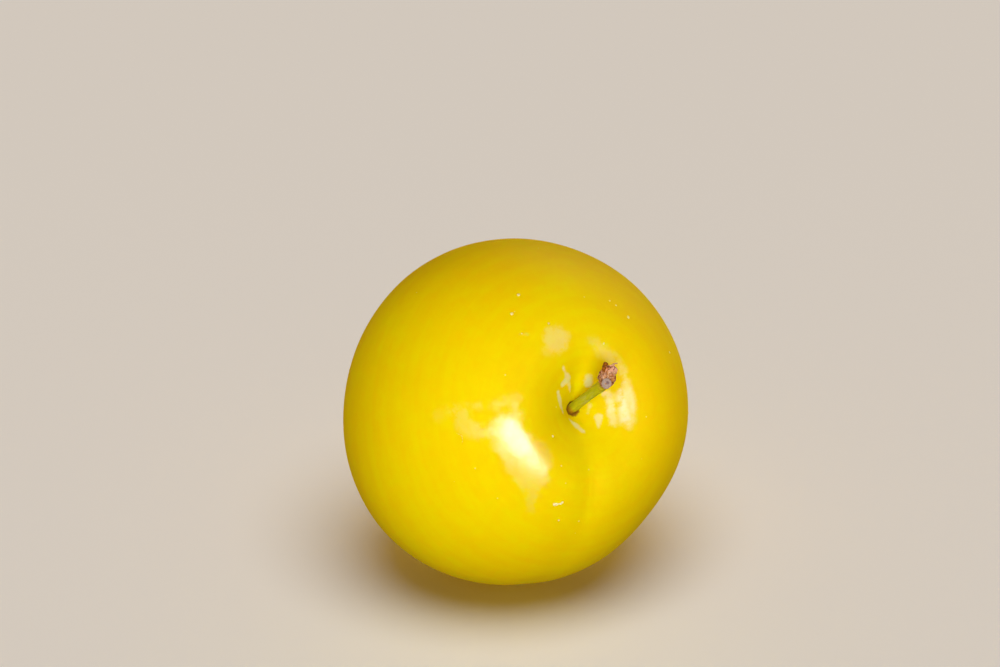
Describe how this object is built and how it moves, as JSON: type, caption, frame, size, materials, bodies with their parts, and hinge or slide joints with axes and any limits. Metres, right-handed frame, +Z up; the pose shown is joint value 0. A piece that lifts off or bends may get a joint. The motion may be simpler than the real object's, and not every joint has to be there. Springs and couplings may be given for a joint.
{
  "type": "plum",
  "caption": "Round yellow plum as picked, lying on its side on a small flat spot, with a deep stem cavity, a shallow suture, a leaning green stalk and its dried brown tip.",
  "frame": {"origin": "middle of the small flat spot that the plum rests on, at the level of the floor", "axes": "+Z up from the floor; the stem end faces -Y with its axis raised 24 degrees above the floor in the YZ plane; +X to the right seen from the stem end"},
  "size_m": [0.0549, 0.0527, 0.0535],
  "materials": {
    "skin": "ripe yellow plum skin, satin and slightly translucent, ochre towards the blossom end, with a patchy whitish wax bloom",
    "stalk": "fresh green stalk, smooth and slightly waxy, browner at its root",
    "dried_tip": "dry, rough and fissured, red-brown with a grey crust, and a pale round scar"
  },
  "bodies": {
    "root": {"fruit": "skin", "stem": "stalk", "stem_tip": "dried_tip"}
  },
  "joints": []
}
